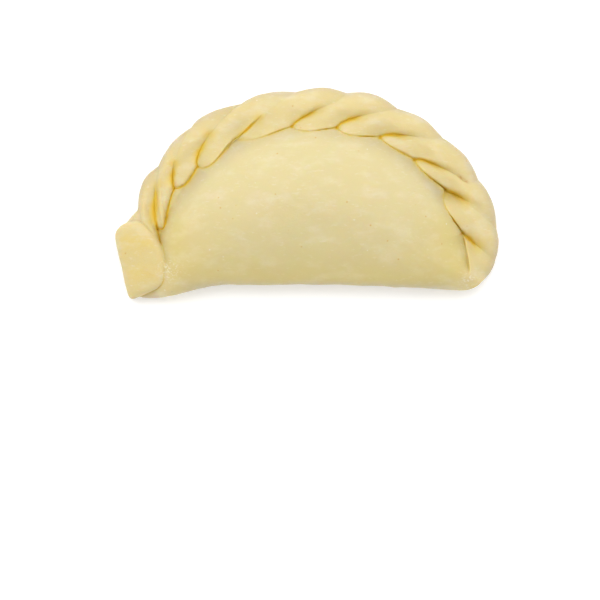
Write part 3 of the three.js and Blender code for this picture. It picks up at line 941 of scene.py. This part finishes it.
# Uneven colour: how long it is in each direction in millimetres, how detailed, between which values
# of the noise it comes in, and how strong. Clouds and streaks are all over, patches where stored.
Mottle = namedtuple("Mottle", "colour stretch detail low high strength")
CLOUDS = Mottle(PINKISH, (9, 9, 9), 3, 0.35, 0.75, 0.6)
STREAKS = [
    Mottle(PALE, (9, 5, 9), 3, 0.45, 0.75, 0.6),
    Mottle(PALE, (2.4, 0.9, 2.4), 2, 0.58, 0.78, 0.6),
    Mottle(PINKISH, (0.7, 0.35, 0.7), 2, 0.4, 0.75, 0.5),
]
PATCHES = {
    "flour": Mottle((0.71, 0.65, 0.45), (0.8, 0.6, 0.8), 3, 0.5, 0.66, 1.0),
    "torn": Mottle((0.55, 0.31, 0.11), (0.8, 0.5, 0.8), 3, 0.3, 0.6, 1.0),
}

# Stored values of painted shade that multiply the colour, and those that paint golden shade in
# creases and hollows between two of their values.
SHADE_MULTIPLIERS = [("low", (1.0, 0.96, 0.70)), ("under", (0.80, 0.80, 0.97)), ("shade", (0.84, 0.79, 0.52))]
HOLLOW_SHADE_TINTS = [
    ("closed", SHADE_GOLD, 0.06, 0.5), ("closed", SHADE_DARK_GOLD, 0.2, 0.55),
    ("tuck", SHADE_GOLD, 0.1, 0.9), ("tuck", SHADE_DARK_GOLD, 0.4, 1.0),
]

# Dots of a radius, one in a share of the cells of a size: brown, dark and pale ones.
Specks = namedtuple("Specks", "cell radius share seed colour strength")
SPECKS = [
    Specks(4.6, 0.42, 0.5, 1, (0.56, 0.32, 0.08), 0.7),
    Specks(7.5, 0.34, 0.12, 5, (0.36, 0.33, 0.22), 0.6),
    Specks(5.2, 0.38, 0.4, 9, (0.72, 0.68, 0.55), 0.7),
]

SATIN = {
    "Roughness": 0.5,
    "Specular IOR Level": 0.35,
    "Subsurface Weight": 0.7,
    "Subsurface Radius": (1.0, 0.55, 0.2),
    "Subsurface Scale": 3 * MM,
}
ROUGHNESS_RANGE = (0.46, 0.6)
GRAIN_STRENGTH, GRAIN_HEIGHT = 0.35, 0.25 * MM


def dough_material():
    """Raw dough: pale yellow with faint pale streaks and small specks, and painted shade that turns it
    golden in creases, grooves and hollows and darker on the lower front, at the foot and by notches.
    """
    material = bpy.data.materials.new("raw_dough")
    material.use_nodes = True
    nodes, links = material.node_tree.nodes, material.node_tree.links
    shader = nodes["Principled BSDF"]
    for name, value in SATIN.items():
        shader.inputs[name].default_value = value

    position = nodes.new("ShaderNodeTexCoord").outputs["Object"]

    def stored(name):
        attribute = nodes.new("ShaderNodeAttribute")
        attribute.attribute_name = name
        return attribute.outputs["Fac"]

    def scaled(stretch):
        """The position in millimetres, divided by a length in each direction."""
        mapping = nodes.new("ShaderNodeMapping")
        mapping.inputs["Scale"].default_value = [1 / (MM * length) for length in stretch]
        links.new(position, mapping.inputs["Vector"])
        return mapping.outputs["Vector"]

    def noise_of(stretch, detail=3, roughness=0.55):
        texture = nodes.new("ShaderNodeTexNoise")
        texture.inputs["Scale"].default_value = 1
        texture.inputs["Detail"].default_value = detail
        texture.inputs["Roughness"].default_value = roughness
        links.new(scaled(stretch), texture.inputs["Vector"])
        return texture.outputs["Fac"]

    def ramped(value, low, high, at_low=0.0, at_high=1.0):
        ramp = nodes.new("ShaderNodeMapRange")
        ramp.interpolation_type = "SMOOTHSTEP"
        numbers = {"From Min": low, "From Max": high, "To Min": at_low, "To Max": at_high}
        for name, number in numbers.items():
            ramp.inputs[name].default_value = number
        links.new(value, ramp.inputs["Value"])
        return ramp.outputs["Result"]

    def mottled(mottle):
        noise = noise_of(mottle.stretch, mottle.detail)
        return ramped(noise, mottle.low, mottle.high, 0.0, mottle.strength)

    def times(value, other):
        math_node = nodes.new("ShaderNodeMath")
        math_node.operation = "MULTIPLY"
        links.new(value, math_node.inputs[0])
        if isinstance(other, float):
            math_node.inputs[1].default_value = other
        else:
            links.new(other, math_node.inputs[1])
        return math_node.outputs["Value"]

    def mixed(colour, other, share, blend="MIX"):
        mix = nodes.new("ShaderNodeMix")
        mix.data_type = "RGBA"
        mix.blend_type = blend
        links.new(share, mix.inputs["Factor"])
        for value, socket in ((colour, mix.inputs["A"]), (other, mix.inputs["B"])):
            if isinstance(value, tuple):
                socket.default_value = (*value, 1)
            else:
                links.new(value, socket)
        return mix.outputs["Result"]

    def dotted(specks):
        """1 in the specks, which a seed shifts to their own places, and 0 around them."""
        cells = nodes.new("ShaderNodeTexVoronoi")
        cells.inputs["Scale"].default_value = 1
        cells.inputs["Randomness"].default_value = 1
        shifted = nodes.new("ShaderNodeVectorMath")
        shifted.inputs[1].default_value = (specks.seed, 2.3 * specks.seed, 3.1 * specks.seed)
        links.new(scaled([specks.cell] * 3), shifted.inputs[0])
        links.new(shifted.outputs["Vector"], cells.inputs["Vector"])
        radius = specks.radius / specks.cell
        dot = ramped(cells.outputs["Distance"], 0.4 * radius, radius, 1.0, 0.0)
        pick = nodes.new("ShaderNodeSeparateColor")
        links.new(cells.outputs["Color"], pick.inputs["Color"])
        return times(dot, ramped(pick.outputs["Red"], 1 - specks.share, 1.02 - specks.share))

    colour = mixed(BODY, CLOUDS.colour, mottled(CLOUDS))
    colour = mixed(colour, ROPE_COLOUR, stored("rope"))
    # The tab's tone, with bands of painted shade across its top.
    colour = mixed(colour, TAB_COLOUR, stored("tab"))
    for streaks in STREAKS:
        colour = mixed(colour, streaks.colour, mottled(streaks))
    # Painted shade on the lower front, at the foot and by notches and creases, then painted golden shade
    # in creases, grooves and hollows.
    for name, tint in SHADE_MULTIPLIERS:
        colour = mixed(colour, tint, stored(name), "MULTIPLY")
    for name, tint, low, high in HOLLOW_SHADE_TINTS:
        colour = mixed(colour, tint, ramped(stored(name), low, high))
    for name, mottle in PATCHES.items():
        colour = mixed(colour, mottle.colour, times(stored(name), mottled(mottle)))
    for specks in SPECKS:
        colour = mixed(colour, specks.colour, times(dotted(specks), specks.strength))
    links.new(colour, shader.inputs["Base Color"])

    roughness = ramped(noise_of((1.6, 1.6, 1.6)), 0.3, 0.7, *ROUGHNESS_RANGE)
    links.new(roughness, shader.inputs["Roughness"])
    bump = nodes.new("ShaderNodeBump")
    bump.inputs["Strength"].default_value = GRAIN_STRENGTH
    bump.inputs["Distance"].default_value = GRAIN_HEIGHT
    links.new(noise_of((0.9, 0.6, 0.9), 4, 0.6), bump.inputs["Height"])
    links.new(bump.outputs["Normal"], shader.inputs["Normal"])
    return material


# ---- the stage, in metres

# The sky is a little brighter behind the pie than in front of it, and a large soft light adds to
# it from behind and above. The floor glows a little, so that it is white but for a soft shadow.
SKY_FRONT, SKY_BACK, SKY_SPREAD = 0.76, 0.82, 0.6
KEY_WATTS = 17.6
KEY_WIDTH, KEY_DEPTH = 2.2, 1.0
KEY_PLACE = (-0.10, 0.63, 1.36)
FLOOR_SIZE, FLOOR_GREY, FLOOR_ROUGHNESS, FLOOR_GLOW = 6, 0.9, 0.9, 0.23
CAMERA_PLACE = (-0.0024, -0.0361, 1.2)
CAMERA_LENS, CAMERA_SENSOR = 212, 36


def make_floor():
    bpy.ops.mesh.primitive_plane_add(size=FLOOR_SIZE)
    floor = bpy.context.object
    floor.name = "floor"
    material = bpy.data.materials.new("floor")
    material.use_nodes = True
    shader = material.node_tree.nodes["Principled BSDF"]
    shader.inputs["Base Color"].default_value = (FLOOR_GREY, FLOOR_GREY, FLOOR_GREY, 1)
    shader.inputs["Roughness"].default_value = FLOOR_ROUGHNESS
    shader.inputs["Emission Color"].default_value = (1, 1, 1, 1)
    shader.inputs["Emission Strength"].default_value = FLOOR_GLOW
    floor.data.materials.append(material)


def make_sky(scene):
    world = bpy.data.worlds.new("studio")
    world.use_nodes = True
    nodes, links = world.node_tree.nodes, world.node_tree.links
    nodes["Background"].inputs["Color"].default_value = (1, 1, 1, 1)
    direction = nodes.new("ShaderNodeSeparateXYZ")
    links.new(nodes.new("ShaderNodeTexCoord").outputs["Generated"], direction.inputs["Vector"])
    strength = nodes.new("ShaderNodeMapRange")
    strength.inputs["From Min"].default_value = -SKY_SPREAD
    strength.inputs["From Max"].default_value = SKY_SPREAD
    strength.inputs["To Min"].default_value = SKY_FRONT
    strength.inputs["To Max"].default_value = SKY_BACK
    links.new(direction.outputs["Y"], strength.inputs["Value"])
    links.new(strength.outputs["Result"], nodes["Background"].inputs["Strength"])
    scene.world = world


def make_key_light(scene):
    light = bpy.data.lights.new("key", "AREA")
    light.shape = "RECTANGLE"
    light.size, light.size_y = KEY_WIDTH, KEY_DEPTH
    light.energy = KEY_WATTS
    key = bpy.data.objects.new("key", light)
    key.location = KEY_PLACE
    key.rotation_euler = (-Vector(KEY_PLACE)).to_track_quat("-Z", "Y").to_euler()
    scene.collection.objects.link(key)


def make_camera(scene):
    """Looks straight down at the pie."""
    camera = bpy.data.cameras.new("camera")
    camera.sensor_width = CAMERA_SENSOR
    camera.lens = CAMERA_LENS
    eye = bpy.data.objects.new("camera", camera)
    eye.location = CAMERA_PLACE
    scene.collection.objects.link(eye)
    scene.camera = eye


def make_stage():
    scene = bpy.context.scene
    scene.view_settings.view_transform = "Standard"
    make_floor()
    make_sky(scene)
    make_key_light(scene)
    make_camera(scene)


# ---- the scene

dough = make_dough()
set_into_frame(dough)
dough.data.materials.clear()
dough.data.materials.append(dough_material())
dough.data.shade_smooth()
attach(dough, "root")
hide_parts("empanada")
make_stage()
